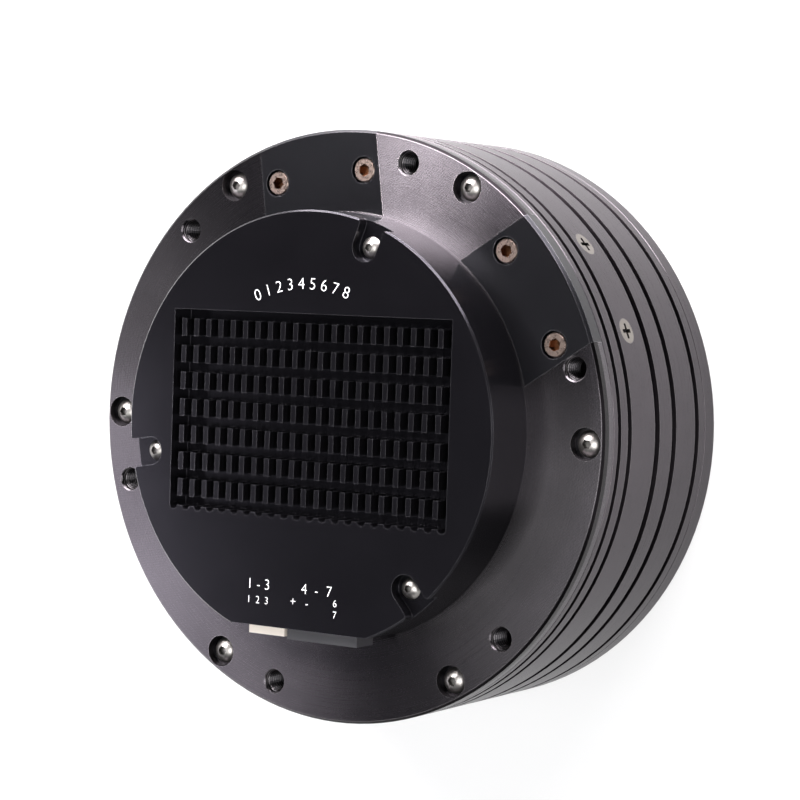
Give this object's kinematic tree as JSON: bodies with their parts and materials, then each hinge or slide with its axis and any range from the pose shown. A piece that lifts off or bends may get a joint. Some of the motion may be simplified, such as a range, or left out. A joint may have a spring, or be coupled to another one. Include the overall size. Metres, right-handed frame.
{
  "type": "robot joint actuator",
  "caption": "Flat round robot joint actuator: grooved barrel, ring of screws and tapped holes, finned rear cover with connectors, geared output flange on a crossed roller bearing.",
  "frame": {"origin": "centre of the casing's face on the output side, which is the lowest plane of the part", "axes": "+Z along the joint axis towards the rear cover, -Y towards the connectors, +X to the right seen from the rear with the connectors below"},
  "size_m": [0.106, 0.106, 0.055],
  "materials": {
    "black_anodised": "satin turned black anodised",
    "black_cover": "satin black anodised, milled",
    "black_inset": "satin black anodised, brushed",
    "bare_alloy": "machined",
    "stainless": "bright",
    "screw_bronze": "bright, warm",
    "black_screw": "black oxide",
    "bearing_steel": "ground",
    "gear_steel": "ground",
    "lamination": "stamped",
    "copper": "enamelled wire",
    "magnet": "nickel plated",
    "bronze": "sintered",
    "rubber": "matt",
    "pcb": "solder mask",
    "chip": "moulded",
    "can": "drawn can",
    "pad": "soft silicone",
    "cream_plastic": "moulded",
    "dark_plastic": "moulded",
    "gold_pin": "plated",
    "cage_plastic": "moulded"
  },
  "bodies": {
    "casing": {"main_housing": "black_anodised", "front_housing": "black_anodised", "rear_flange": "black_anodised", "inset_plate_top": "black_inset", "inset_plate_side": "black_inset", "inset_screws": "screw_bronze", "flange_screws": "stainless", "front_screws": "stainless", "stator_screws": "stainless", "rear_cover": "black_cover", "cover_screws": "stainless", "stator_core": "lamination", "windings": "copper", "phase_leads": "copper", "rear_bearing_outer_race": "bearing_steel", "ring_gear": "gear_steel", "ring_gear_screws": "black_screw", "bearing_outer_race": "bearing_steel", "output_seal": "rubber", "driver_board": "pcb", "board_spacers": "bare_alloy", "board_screws": "stainless", "power_transistors": "chip", "thermal_pad": "pad", "controller_chip": "chip", "encoder_chip": "chip", "capacitors": "can", "data_connector": "cream_plastic", "data_pins": "gold_pin", "power_connector": "dark_plastic", "power_pins": "gold_pin"},
    "rotor": {"rotor_hub": "bare_alloy", "rotor_yoke": "gear_steel", "magnets": "magnet", "sun_gear_shaft": "gear_steel", "encoder_magnet": "magnet", "rotor_bearing_inner_races": "bearing_steel"},
    "output": {"output_flange": "bare_alloy", "carrier_plate": "gear_steel", "carrier_screws": "black_screw", "bearing_retainer": "gear_steel", "retainer_screws": "black_screw", "bearing_inner_race": "bearing_steel", "planet_pins": "bearing_steel", "front_bearing_outer_race": "bearing_steel"},
    "planet_1": {"planet_gear_1": "gear_steel", "planet_bush_1": "bronze"},
    "planet_2": {"planet_gear_2": "gear_steel", "planet_bush_2": "bronze"},
    "planet_3": {"planet_gear_3": "gear_steel", "planet_bush_3": "bronze"},
    "roller_set": {"bearing_rollers": "bearing_steel", "roller_spacers": "cage_plastic"},
    "front_ball_set": {"front_bearing_balls": "bearing_steel", "front_ball_cage": "cage_plastic"},
    "rear_ball_set": {"rear_bearing_balls": "bearing_steel", "rear_ball_cage": "cage_plastic"}
  },
  "joints": [
    {"name": "rotor_spin", "type": "hinge", "parent": "casing", "child": "rotor", "pos_m": [0, 0, 0], "axis": [0, 0, 1], "continuous": true},
    {"name": "output_spin", "type": "hinge", "parent": "casing", "child": "output", "pos_m": [0, 0, 0], "axis": [0, 0, 1], "continuous": true},
    {"name": "planet_1_spin", "type": "hinge", "parent": "output", "child": "planet_1", "pos_m": [0, 0.01575, 0], "axis": [0, 0, 1], "continuous": true},
    {"name": "planet_2_spin", "type": "hinge", "parent": "output", "child": "planet_2", "pos_m": [-0.01364, -0.00788, 0], "axis": [0, 0, 1], "continuous": true},
    {"name": "planet_3_spin", "type": "hinge", "parent": "output", "child": "planet_3", "pos_m": [0.01364, -0.00788, 0], "axis": [0, 0, 1], "continuous": true},
    {"name": "roller_set_spin", "type": "hinge", "parent": "casing", "child": "roller_set", "pos_m": [0, 0, 0], "axis": [0, 0, 1], "continuous": true},
    {"name": "front_ball_set_spin", "type": "hinge", "parent": "output", "child": "front_ball_set", "pos_m": [0, 0, 0], "axis": [0, 0, 1], "continuous": true},
    {"name": "rear_ball_set_spin", "type": "hinge", "parent": "casing", "child": "rear_ball_set", "pos_m": [0, 0, 0], "axis": [0, 0, 1], "continuous": true}
  ],
  "couplings": [
    {"joint": "output_spin", "follows": "rotor_spin", "ratio": 0.11111},
    {"joint": "planet_1_spin", "follows": "rotor_spin", "ratio": -0.25397},
    {"joint": "planet_2_spin", "follows": "rotor_spin", "ratio": -0.25397},
    {"joint": "planet_3_spin", "follows": "rotor_spin", "ratio": -0.25397},
    {"joint": "roller_set_spin", "follows": "rotor_spin", "ratio": 0.053919},
    {"joint": "front_ball_set_spin", "follows": "rotor_spin", "ratio": 0.37088},
    {"joint": "rear_ball_set_spin", "follows": "rotor_spin", "ratio": 0.42121}
  ]
}
